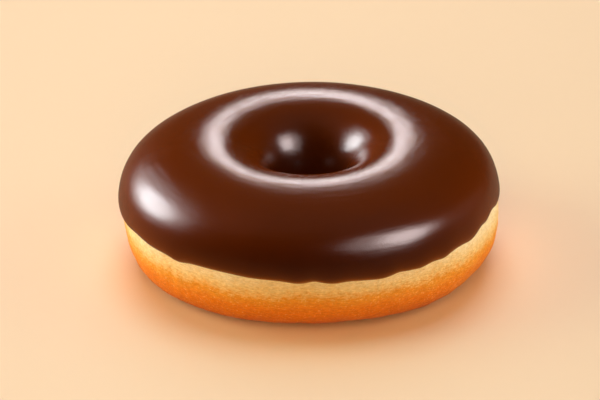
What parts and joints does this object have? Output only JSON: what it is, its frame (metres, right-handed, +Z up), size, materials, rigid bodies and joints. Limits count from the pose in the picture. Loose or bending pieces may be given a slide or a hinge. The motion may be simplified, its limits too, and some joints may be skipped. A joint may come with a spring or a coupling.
{
  "type": "glazed ring doughnut",
  "caption": "Fried ring doughnut with a flat base, a round centre hole, and a smooth glossy chocolate glaze over its top and shoulders, ending in a wavy hem.",
  "frame": {"origin": "on the hole's axis, in the plane of the flat base that the doughnut rests on", "axes": "+Z up along the hole, from the flat base to the glazed crest; -Y towards the side that is seen first; +X to that side's right"},
  "size_m": [0.0953, 0.0946, 0.0338],
  "materials": {
    "fried_dough": "soft matt crust, pale gold in a band under the glaze and deep orange brown below it",
    "chocolate": "set dark chocolate, smooth and glossy with soft-edged highlights"
  },
  "bodies": {
    "root": {"dough_ring": "fried_dough", "chocolate_glaze": "chocolate"}
  },
  "joints": []
}
